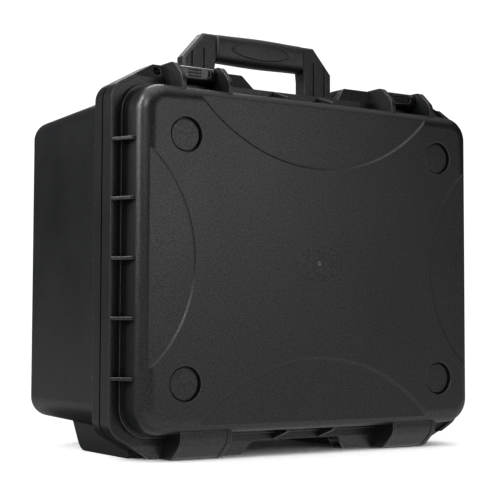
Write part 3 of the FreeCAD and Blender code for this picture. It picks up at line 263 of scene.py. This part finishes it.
def moulded(name, tones, grain, relief, rounding, rough, shine, flow, seam_shade_reach=0):
    """Moulded plastic: pebbles from cells the grain's size with a fine grain on them, broader flow marks, a
    highlight painted along the outer edges, and shade painted in hollows, where the colour goes to black and the
    shine is dimmed.
    The tones are those of the pits, the pebbles and the edges' painted highlight. The pits hide part of the shine,
    which gives the surface its speckle."""
    material, tree, shader, place = new_material(name)
    valley, crest, edge = tones
    cells = add_node(tree, "ShaderNodeTexVoronoi", {"Vector": place, "Scale": 1 / grain, "Randomness": 1})
    pebble = add_node(tree, "ShaderNodeMapRange", (cells, *PEBBLE, 1, 0))
    fine = add_node(
        tree, "ShaderNodeTexNoise",
        {"Vector": place, "Scale": 1 / (grain * FINE_SIZE), "Detail": 2, "Roughness": 0.55},
    )
    rise = add_node(tree, "ShaderNodeMath", (fine, FINE_HEIGHT), operation="MULTIPLY")
    bumps = add_node(tree, "ShaderNodeMath", (pebble, rise), operation="ADD")
    marks = add_node(
        tree, "ShaderNodeTexNoise", {"Vector": place, "Scale": 1 / flow, "Detail": 4, "Roughness": 0.6}
    )
    soft, edge_highlight_share, unshaded_share = edge_shares(tree, rounding)

    height = add_node(tree, "ShaderNodeMapRange", (bumps, *RELIEF, 0, 1))
    cloud = add_node(tree, "ShaderNodeMapRange", (marks, *NOISE, *CLOUDING))
    tone = add_node(tree, "ShaderNodeMath", (height, cloud), operation="MULTIPLY")
    skin = add_node(tree, "ShaderNodeMix", {0: tone, 6: valley, 7: crest}, 2, data_type="RGBA")
    # Painted highlight: the edge tone is mixed in along outer edges
    edge_highlighted = add_node(tree, "ShaderNodeMix", {0: edge_highlight_share, 6: skin, 7: edge}, 2, data_type="RGBA")
    # Painted shade: the colour goes to black in hollows, grooves and inner corners
    shown = add_node(tree, "ShaderNodeMix", {0: unshaded_share, 6: BLACK, 7: edge_highlighted}, 2, data_type="RGBA")

    specks = add_node(
        tree, "ShaderNodeTexNoise",
        {"Vector": place, "Scale": 1 / (grain * SPECK_SIZE), "Detail": 2, "Roughness": 0.55},
    )
    speckle = add_node(tree, "ShaderNodeMapRange", (specks, *NOISE, *(part * shine for part in SPECKLE)))
    # Painted shade: the shine is dimmed in hollows
    reached = add_node(tree, "ShaderNodeMapRange", (unshaded_share, 0, 1, HOLLOW_SHINE, 1))
    gloss = add_node(tree, "ShaderNodeMath", (speckle, reached), operation="MULTIPLY")
    # Painted shade of the parting groove: colour and shine go to black there
    if seam_shade_reach:
        share = seam_shade_share(tree, place, seam_shade_reach)
        shown = add_node(tree, "ShaderNodeVectorMath", {0: shown, "Scale": share}, operation="SCALE")
        gloss = add_node(tree, "ShaderNodeMath", (gloss, share), operation="MULTIPLY")

    grained = add_node(tree, "ShaderNodeMapRange", (fine, *NOISE, *rough))
    patchy = add_node(tree, "ShaderNodeMapRange", (marks, *NOISE, *FLOW_DULLING))
    dull = add_node(tree, "ShaderNodeMath", (grained, patchy), operation="ADD")
    polish = add_node(tree, "ShaderNodeMath", (edge_highlight_share, POLISH), operation="MULTIPLY")
    feed(shader, {"Specular IOR Level": shine})  # the exported model drops the link, and keeps this
    feed(shader, {
        "Base Color": shown,
        "Specular IOR Level": gloss,
        "Roughness": add_node(tree, "ShaderNodeMath", (dull, polish), operation="SUBTRACT"),
        "Normal": add_node(
            tree, "ShaderNodeBump", {"Strength": 1, "Distance": relief, "Height": bumps, "Normal": soft}
        ),
    })
    return material


def polypropylene_grained(finish):
    """Injection-moulded polypropylene from a spark-eroded tool: a fine satin pebble over a near-black."""
    return moulded(
        "polypropylene_grained", (finish.shell_valley, finish.shell_crest, finish.shell_edge_highlight),
        grain=finish.grain, relief=finish.grain_height, rounding=finish.edge_round, rough=(0.30, 0.40),
        shine=0.38, flow=finish.flow, seam_shade_reach=finish.seam_shade_reach,
    )


def polypropylene_torn(finish):
    """Polypropylene where the moulding's gate was broken off: smooth and shiny, with a paler tone and a pale
    highlight on its edges, both painted.
    """
    return moulded(
        # Painted highlight: the pebbles take the shells' edge-highlight tone, and the edges a paler one still
        "polypropylene_torn", (finish.shell_crest, finish.shell_edge_highlight, finish.gate_rim_highlight),
        grain=finish.grain * 0.5, relief=finish.grain_height * 0.5, rounding=finish.edge_round * 0.5,
        rough=(0.14, 0.22), shine=0.9, flow=finish.flow,
    )


def abs_smooth(finish):
    """Injection-moulded ABS from a polished tool: almost smooth, with a clear satin shine on the barrels."""
    return moulded(
        "abs_smooth", (finish.latch_dark, finish.latch_light, finish.latch_edge_highlight),
        grain=finish.grain * 0.6, relief=finish.grain_height * 0.1, rounding=finish.edge_round * 0.7,
        rough=(0.20, 0.28), shine=0.42, flow=finish.flow,
    )


def elastomer_grip(finish):
    """Overmoulded thermoplastic elastomer: matt, paler than the shells, with a faint leathery grain."""
    return moulded(
        "elastomer_grip", (finish.grip_dark, finish.grip_light, finish.grip_edge_highlight),
        grain=finish.grain * 0.8, relief=finish.grain_height, rounding=finish.edge_round * 0.7,
        rough=(0.38, 0.50), shine=0.45, flow=finish.flow,
    )


def nylon_vent(finish):
    """Glass-filled nylon of the vent: dull black, with a fine mottled skin."""
    return moulded(
        "nylon_vent", (finish.latch_dark, finish.shell_crest, finish.shell_edge_highlight),
        grain=finish.grain * 0.4, relief=finish.grain_height * 0.3, rounding=finish.edge_round * 0.3,
        rough=(0.42, 0.52), shine=0.40, flow=finish.flow,
    )


def rubber_moulded(finish):
    """Compression-moulded EPDM rubber: dull, with a thin pale bloom in patches."""
    material, tree, shader, place = new_material("rubber_moulded")
    bloom = add_node(
        tree, "ShaderNodeTexNoise", {"Vector": place, "Scale": 1 / finish.bloom, "Detail": 5, "Roughness": 0.65}
    )
    skin = add_node(
        tree, "ShaderNodeTexNoise",
        {"Vector": place, "Scale": 1 / finish.rubber_skin, "Detail": 3, "Roughness": 0.55},
    )
    patches = add_node(tree, "ShaderNodeMapRange", (bloom, 0.4, 0.75, 0, 1))
    feed(shader, {
        "Base Color": add_node(
            tree, "ShaderNodeMix", {0: patches, 6: finish.rubber_dark, 7: finish.rubber_light}, 2,
            data_type="RGBA",
        ),
        "Roughness": add_node(tree, "ShaderNodeMapRange", (bloom, *NOISE, 0.62, 0.82)),
        "Normal": add_node(tree, "ShaderNodeBump", {"Strength": 0.5, "Distance": 0.00006, "Height": skin}),
    })
    return material


def steel_ground(finish):
    """Centreless-ground stainless steel pins: fine scratches round the pin, close together along it."""
    material, tree, shader, place = new_material("steel_ground")
    drawn = add_node(tree, "ShaderNodeMapping", {"Vector": place, "Scale": (6, 0.25, 0.25)})
    scratches = add_node(
        tree, "ShaderNodeTexNoise", {"Vector": drawn, "Scale": 1 / finish.scratch, "Detail": 4, "Roughness": 0.7}
    )
    dull = add_node(tree, "ShaderNodeMapRange", (scratches, 0.35, 0.7, 0, 1))
    feed(shader, {
        "Base Color": add_node(
            tree, "ShaderNodeMix", {0: dull, 6: finish.steel_bright, 7: finish.steel_dull}, 2, data_type="RGBA"
        ),
        "Metallic": 1,
        "Roughness": add_node(tree, "ShaderNodeMapRange", (scratches, *NOISE, 0.22, 0.38)),
        "Normal": add_node(tree, "ShaderNodeBump", {"Strength": 0.25, "Distance": 0.00002, "Height": scratches}),
    })
    return material


def ptfe_membrane(finish):
    """Expanded PTFE on a woven backing: a pale matt film in which the backing's threads just show."""
    material, tree, shader, place = new_material("ptfe_membrane")
    threads = add_node(
        tree, "ShaderNodeTexBrick",
        {"Vector": place, "Scale": 1 / finish.thread, "Color1": WHITE, "Color2": THREAD_GREY, "Mortar": BLACK},
        "Fac",
    )
    cloud = add_node(
        tree, "ShaderNodeTexNoise",
        {"Vector": place, "Scale": 1 / finish.membrane_cloud, "Detail": 4, "Roughness": 0.55},
    )
    lines = add_node(tree, "ShaderNodeMath", (threads, 0.4), operation="MULTIPLY")
    drift = add_node(tree, "ShaderNodeMapRange", (cloud, *NOISE, 0, 0.5))
    share = add_node(tree, "ShaderNodeMath", (lines, drift), operation="ADD")
    feed(shader, {
        "Base Color": add_node(
            tree, "ShaderNodeMix", {0: share, 6: finish.membrane_pale, 7: finish.membrane_shade}, 2,
            data_type="RGBA",
        ),
        "Roughness": add_node(tree, "ShaderNodeMapRange", (cloud, *NOISE, 0.6, 0.8)),
        "Normal": add_node(tree, "ShaderNodeBump", {"Strength": 0.4, "Distance": 0.00005, "Height": threads}),
    })
    return material


def paper_floor(studio):
    """Matt studio paper: almost white, with a barely visible mottle. It is seen where the case shades it, and
    runs into the pale background where the sky over it is open, so the lid can be seen when it swings below the
    floor."""
    material, tree, shader, place = new_material("paper_floor")
    mottle = add_node(
        tree, "ShaderNodeTexNoise", {"Vector": place, "Scale": 1 / studio.mottle, "Detail": 4, "Roughness": 0.55}
    )
    share = add_node(tree, "ShaderNodeMapRange", (mottle, *NOISE, 0, 1))
    sky = add_node(tree, "ShaderNodeAmbientOcclusion", {"Distance": studio.shade_reach}, "AO", samples=16)
    feed(shader, {
        "Base Color": add_node(
            tree, "ShaderNodeMix", {0: share, 6: studio.paper, 7: studio.paper_shade}, 2, data_type="RGBA"
        ),
        "Roughness": add_node(tree, "ShaderNodeMapRange", (mottle, *NOISE, 0.8, 0.9)),
        "Specular IOR Level": 0.1,
        "Alpha": add_node(tree, "ShaderNodeMapRange", (sky, studio.shade_low, studio.shade_high, 1, 0)),
    })
    return material


def dress(nodes, material):
    """Gives CAD nodes a material in the slots that they have."""
    for name in nodes:
        slots = frame["nodes"][name].data.materials
        if not slots:
            slots.append(material)
        for k in range(len(slots)):
            slots[k] = material


# Shapes

# Lines of points in each grid: along a piece or outwards from its axis, and round it
SLEEVE_STEPS, SLEEVE_END_STEPS, SLEEVE_SIDES = 241, 9, 260
GATE_RINGS, GATE_SIDES = 25, 64
RIB_RINGS, RIB_SIDES = 33, 24
SHEET_LINES = 9
# Powers of the sleeve's rounded sections: the outside is a soft box, the bore nearly a plain one
SLEEVE_POWER, BORE_POWER = 3.2, 40


def surface(name, grids, around=False, along=False):
    """One mesh over grids of points, rows by columns; a direction that closes joins its last line to its first."""
    points, quads, start = [], [], 0
    for grid in grids:
        rows, columns = grid.shape[:2]
        place = start + np.arange(rows * columns).reshape(rows, columns)
        if along:
            place = np.vstack([place, place[:1]])
        if around:
            place = np.hstack([place, place[:, :1]])
        points.append(grid.reshape(-1, 3))
        quads.append(np.stack([place[:-1, :-1], place[:-1, 1:], place[1:, 1:], place[1:, :-1]], -1).reshape(-1, 4))
        start += rows * columns
    mesh = bpy.data.meshes.new(name)
    mesh.from_pydata(np.concatenate(points), [], np.concatenate(quads))
    mesh.polygons.foreach_set("use_smooth", np.ones(len(mesh.polygons), bool))
    mesh.update()
    piece = bpy.data.objects.new(name, mesh)
    bpy.context.scene.collection.objects.link(piece)
    return piece


def circle(sides):
    """Angles once round, without the last, which is the first again."""
    return np.linspace(0, 2 * math.pi, sides + 1)[:-1]


def rounded_box(angle, half_y, half_z, power):
    """A closed section: y and z follow |y/a|^p + |z/b|^p = 1, a rounded rectangle for a power over 2."""
    cos, sin = np.cos(angle), np.sin(angle)
    reach = (np.abs(cos / half_y) ** power + np.abs(sin / half_z) ** power) ** (-1 / power)
    return reach * cos, reach * sin


def grip_sleeve(trim):
    """The grip's sleeve. Its section is a rounded box that is full at the middle and slimmer by the waist's cosine
    towards the ends, where a quarter circle rounds it over to the end face, and the bore comes back along the
    crossbar. A cosine groove runs round an ellipse on the front, and the oval inside it lies a little deeper."""
    low, high = np.array(GRIP_LOW), np.array(GRIP_HIGH)
    middle, half = (low + high) / 2, (high - low) / 2
    end = trim.grip_end
    turn = np.linspace(0, math.pi / 2, SLEEVE_END_STEPS)
    flat = np.linspace(-half[0] + end, half[0] - end, SLEEVE_STEPS)[1:-1]
    x = np.concatenate([-half[0] + end - end * np.sin(turn[::-1]), flat, half[0] - end + end * np.sin(turn)])
    inward = np.concatenate([end - end * np.cos(turn[::-1]), 0 * flat, end - end * np.cos(turn)])
    waist = trim.grip_sag * (1 - np.cos(math.pi * x / half[0])) / 2
    slimmer = (inward + waist)[:, None]
    angle = circle(SLEEVE_SIDES) - math.pi
    y, z = rounded_box(angle, half[1] - slimmer, half[2] - slimmer, SLEEVE_POWER)
    across = np.broadcast_to(x[:, None], y.shape)
    oval = np.hypot(across / (trim.inset_width / 2), z / (trim.inset_height / 2))
    near = np.clip(1 - np.abs(oval - 1) / trim.inset_line, 0, 1)
    sunk = trim.inset_depth * ((1 - np.cos(math.pi * near)) / 2 + np.where(oval < 1, trim.inset_floor, 0))
    outer = np.stack([across, y + np.where(y < 0, sunk, 0), z], -1)
    bore_y, bore_z = rounded_box(angle, trim.bore_depth, trim.bore_height, BORE_POWER)
    ends = [np.stack([np.full_like(bore_y, side * half[0]), bore_y, bore_z], -1) for side in (1, -1)]
    points = np.concatenate([outer, ends[0][None], ends[1][None]]) + middle
    return surface("grip_sleeve", [points[:, ::-1]], around=True, along=True)


def gate_mark(trim):
    """The gate's mark: a disc turned about y. Its height over the recess is half a cosine of the distance from
    the axis, and its rim goes down into the lid's wall. The first and the last ring close onto the axis."""
    out = np.linspace(0.02, 1, GATE_RINGS)
    angle = circle(GATE_SIDES)
    radius = np.append(out, 1)[:, None] * trim.gate_across / 2
    height = np.append(trim.gate_rise * (np.cos(math.pi * out) + 1) / 2, -trim.gate_root)[:, None]
    face = LID_LOW[1] + trim.badge_depth
    points = np.stack([
        radius * np.cos(angle),
        face - height + 0 * angle,
        trim.badge_height + radius * np.sin(angle),
    ], -1)
    poles = np.broadcast_to(points[[0, -1]].mean(1, keepdims=True), points[[0, -1]].shape)
    return surface("badge_gate", [np.concatenate([poles[:1], points, poles[1:]])], around=True)


def scoop_ribs(name, middle_x, floor_y, trim):
    """Grip ribs in the finger scoop. Each is a long bar of elliptic section, half of it sunk in the scoop's floor:
    width and rise fall with the square root of 1 - t^6 along it, where t goes from -1 to 1."""
    along = np.sin(np.linspace(-math.pi / 2, math.pi / 2, RIB_RINGS))[:, None]
    swell = np.sqrt(np.clip(1 - along ** 6, 0, 1))
    angle = circle(RIB_SIDES)
    rib = np.stack([
        along * trim.rib_length / 2 + 0 * angle,
        -trim.rib_rise * swell * np.cos(angle),
        trim.rib_across / 2 * swell * np.sin(angle),
    ], -1)
    steps = (np.arange(trim.ribs) - (trim.ribs - 1) / 2) * trim.rib_pitch
    return surface(name, [rib + (middle_x, floor_y, trim.scoop_middle + step) for step in steps], around=True)


def sheet(name, across, along):
    """A flat sheet on the ground between two places along x and two along y."""
    east, north = np.meshgrid(np.linspace(*across, SHEET_LINES), np.linspace(*along, SHEET_LINES), indexing="xy")
    return surface(name, [np.stack([east, north, 0 * east], -1)[::-1]])


# Studio

# Each light's name, its width and height, its place and the point that it faces, in metres
LIGHTS = (
    ("face_light", (1.0, 0.65), (0.66, -2.0, 0.62), (0.0, -0.15, 0.25)),
    ("edge_light", (0.5, 1.0), (-2.4, -1.1, 1.7), (-0.2, 0.0, 0.35)),
    ("wall_light", (0.6, 2.0), (-2.4, 0.9, 1.7), (-0.2, 0.1, 0.40)),
    ("side_light", (0.7, 0.7), (-2.3, 1.7, 1.0), (-0.2, 0.0, 0.30)),
    ("back_light", (1.4, 1.0), (0.9, 2.2, 2.3), (0.0, 0.1, 0.25)),
)
# The room changes between two parts of a ray's way each time. They run from -1 to 1, towards right, back or up.
FRONT_TO_BACK = (-0.7, 0.3)
FLOOR_TO_ROOM = (-0.04, 0)
STEEP_TO_SHALLOW = (-0.45, -0.1)
ROOM_TO_CEILING = (0.6, 0.95)
LEFT_TO_RIGHT = (0.1, 0.5)
RIGHT_CEILING = 0.4  # brightness of the ceiling on the right, as a share of the left's
# The photograph's view, from the front left and near the floor: place in metres and turn in degrees
VIEW_PLACE = (-0.8171, -1.2745, 0.1333)
VIEW_TURN = (93.451, -0.179, -32.882)
SENSOR_WIDTH = 36  # millimetres
FAR_CLIP = 200  # metres


def add_room(studio):
    """The room's light by the way that a ray goes: a dim surround, the floor's glow from below, which is stronger
    where the ray goes down steeply, and a pale ceiling, brighter on the left. The camera sees a pale
    background."""
    world = bpy.data.worlds.new("studio_room")
    world.use_nodes = True
    tree = world.node_tree
    tree.nodes.clear()
    ray = add_node(tree, "ShaderNodeTexCoord", output="Generated")
    right, back, up = add_node(tree, "ShaderNodeSeparateXYZ", (ray,), None).outputs
    glow = add_node(tree, "ShaderNodeMapRange", (back, *FRONT_TO_BACK, studio.front_glow, studio.back_glow))
    below = add_node(tree, "ShaderNodeMapRange", (up, *FLOOR_TO_ROOM, 1, 0))
    floor = add_node(tree, "ShaderNodeMath", (glow, below), operation="MULTIPLY")
    dim = add_node(tree, "ShaderNodeMath", (floor, studio.surround), operation="ADD")
    deep = add_node(tree, "ShaderNodeMapRange", (up, *STEEP_TO_SHALLOW, studio.deep_glow, 0))
    low = add_node(tree, "ShaderNodeMath", (dim, deep), operation="ADD")
    ceiling = add_node(tree, "ShaderNodeMapRange", (up, *ROOM_TO_CEILING, 0, studio.ceiling))
    side = add_node(tree, "ShaderNodeMapRange", (right, *LEFT_TO_RIGHT, 1, RIGHT_CEILING))
    high = add_node(tree, "ShaderNodeMath", (ceiling, side), operation="MULTIPLY")
    lit = add_node(tree, "ShaderNodeMath", (low, high), operation="ADD")
    room = add_node(tree, "ShaderNodeBackground", {"Color": WHITE, "Strength": lit})
    pale = add_node(tree, "ShaderNodeBackground", {"Color": WHITE, "Strength": studio.background})
    seen = add_node(tree, "ShaderNodeLightPath", output="Is Camera Ray")
    both = add_node(tree, "ShaderNodeMixShader", (seen, room, pale))
    add_node(tree, "ShaderNodeOutputWorld", {"Surface": both}, None)
    bpy.context.scene.world = world


def add_light(name, power, size, place, aim):
    """A rectangular soft light that faces the aim."""
    light = bpy.data.lights.new(name, "AREA")
    light.shape = "RECTANGLE"
    light.size, light.size_y = size
    light.energy = power
    lamp = bpy.data.objects.new(name, light)
    bpy.context.scene.collection.objects.link(lamp)
    lamp.visible_camera = False
    lamp.location = place
    towards = [a - p for a, p in zip(aim, place)]
    flat = math.hypot(towards[0], towards[1])
    lamp.rotation_euler = (math.atan2(flat, -towards[2]), 0, math.atan2(-towards[0], towards[1]))


def add_camera(studio):
    """The photograph's view, through the studio's lens."""
    camera = bpy.data.cameras.new("photo_view")
    camera.sensor_width = SENSOR_WIDTH
    camera.lens = studio.lens
    camera.clip_end = FAR_CLIP
    eye = bpy.data.objects.new("photo_view", camera)
    bpy.context.scene.collection.objects.link(eye)
    eye.location = VIEW_PLACE
    eye.rotation_euler = [math.radians(turn) for turn in VIEW_TURN]
    bpy.context.scene.camera = eye


# Operators


class CASE_OT_shells(bpy.types.Operator):
    """Gives lid and base their grained polypropylene"""

    bl_idname = "hardcase.shells"
    bl_label = "Finish the shells"

    def execute(self, context):
        dress(("base_shell", "lid_shell"), polypropylene_grained(context.scene.case_finish))
        return {"FINISHED"}


class CASE_OT_latches(bpy.types.Operator):
    """Finishes both latches and puts the grip ribs in their scoops"""

    bl_idname = "hardcase.latches"
    bl_label = "Finish the latches"

    def execute(self, context):
        trim = context.scene.case_trim
        material = abs_smooth(context.scene.case_finish)
        dress(("latch_left", "latch_right"), material)
        for word, side in (("left", -1), ("right", 1)):
            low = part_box("latch_" + word)[0]
            ribs = scoop_ribs("latch_ribs_" + word, side * trim.latch_middle, low[1] + trim.scoop_depth, trim)
            ribs.data.materials.append(material)
            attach(ribs, "latch_" + word)
        return {"FINISHED"}


class CASE_OT_handle(bpy.types.Operator):
    """Finishes the handle's frame and puts the soft sleeve on its crossbar"""

    bl_idname = "hardcase.handle"
    bl_label = "Finish the handle"

    def execute(self, context):
        finish = context.scene.case_finish
        dress(("handle_frame",), bpy.data.materials.get("polypropylene_grained") or polypropylene_grained(finish))
        sleeve = grip_sleeve(context.scene.case_trim)
        sleeve.data.materials.append(elastomer_grip(finish))
        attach(sleeve, "handle")
        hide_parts("handle_grip")
        return {"FINISHED"}


class CASE_OT_badge(bpy.types.Operator):
    """Puts the moulding gate's mark in the blank oval recess"""

    bl_idname = "hardcase.badge"
    bl_label = "Mark the badge recess"

    def execute(self, context):
        mark = gate_mark(context.scene.case_trim)
        mark.data.materials.append(polypropylene_torn(context.scene.case_finish))
        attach(mark, "lid")
        return {"FINISHED"}


class CASE_OT_seals(bpy.types.Operator):
    """Gives the lid's seal and the vent's seal their rubber"""

    bl_idname = "hardcase.seals"
    bl_label = "Finish the seals"

    def execute(self, context):
        dress(("lid_seal", "vent_seal"), rubber_moulded(context.scene.case_finish))
        return {"FINISHED"}


class CASE_OT_pins(bpy.types.Operator):
    """Gives the hinge, latch and handle pins their ground steel"""

    bl_idname = "hardcase.pins"
    bl_label = "Finish the pins"

    def execute(self, context):
        pins = ["%s_pin_%s" % (word, side) for word in ("hinge", "latch", "handle") for side in ("left", "right")]
        dress(pins, steel_ground(context.scene.case_finish))
        return {"FINISHED"}


class CASE_OT_vent(bpy.types.Operator):
    """Gives the pressure vent its nylon and its pale membrane"""

    bl_idname = "hardcase.vent"
    bl_label = "Finish the vent"

    def execute(self, context):
        finish = context.scene.case_finish
        dress(("vent_body", "vent_cap", "vent_nut"), nylon_vent(finish))
        dress(("vent_membrane",), ptfe_membrane(finish))
        return {"FINISHED"}


class CASE_OT_studio(bpy.types.Operator):
    """Makes the pale floor, the room, the soft lights and the camera"""

    bl_idname = "hardcase.studio"
    bl_label = "Set up the studio"

    def execute(self, context):
        studio = context.scene.case_studio
        scene = context.scene
        scene.view_settings.view_transform = "Standard"
        half = studio.floor_across / 2
        floor = sheet("studio_floor", (-half, half), (-half, half))
        floor.data.materials.append(paper_floor(studio))
        # The room's glow stands for the floor in the case's shine
        floor.visible_glossy = floor.visible_diffuse = floor.visible_shadow = False
        # Painted shade: a dark card, seen only in the case's shine, stands for the floor's shadow under the case
        rim = studio.card_rim
        card = sheet("shade_card", (BASE_LOW[0] - rim, BASE_HIGH[0] + rim), (SEAM_Y, BASE_HIGH[1] + rim))
        card.data.materials.append(rubber_moulded(scene.case_finish))
        card.visible_camera = card.visible_diffuse = card.visible_shadow = False
        add_room(studio)
        for name, size, place, aim in LIGHTS:
            add_light(name, getattr(studio, name), size, place, aim)
        add_camera(studio)
        return {"FINISHED"}


class CASE_PT_panel(bpy.types.Panel):
    """Lists the steps of the case's finish"""

    bl_idname = "CASE_PT_panel"
    bl_label = "Hard case"
    bl_space_type = "VIEW_3D"
    bl_region_type = "UI"
    bl_category = "Hard case"

    def draw(self, context):
        for step in STEPS:
            self.layout.operator(step.bl_idname)


GROUPS = (("case_finish", CaseFinish), ("case_trim", CaseTrim), ("case_studio", CaseStudio))
STEPS = (
    CASE_OT_shells, CASE_OT_latches, CASE_OT_handle, CASE_OT_badge, CASE_OT_seals, CASE_OT_pins, CASE_OT_vent,
    CASE_OT_studio,
)


def register():
    for word, group in GROUPS:
        bpy.utils.register_class(group)
        setattr(bpy.types.Scene, word, PointerProperty(type=group))
    for step in (*STEPS, CASE_PT_panel):
        bpy.utils.register_class(step)


def unregister():
    for step in (CASE_PT_panel, *reversed(STEPS)):
        bpy.utils.unregister_class(step)
    for word, group in reversed(GROUPS):
        delattr(bpy.types.Scene, word)
        bpy.utils.unregister_class(group)


def main():
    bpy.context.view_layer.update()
    register()
    for step in STEPS:
        family, word = step.bl_idname.split(".")
        getattr(getattr(bpy.ops, family), word)()


if __name__ == "__main__":
    main()
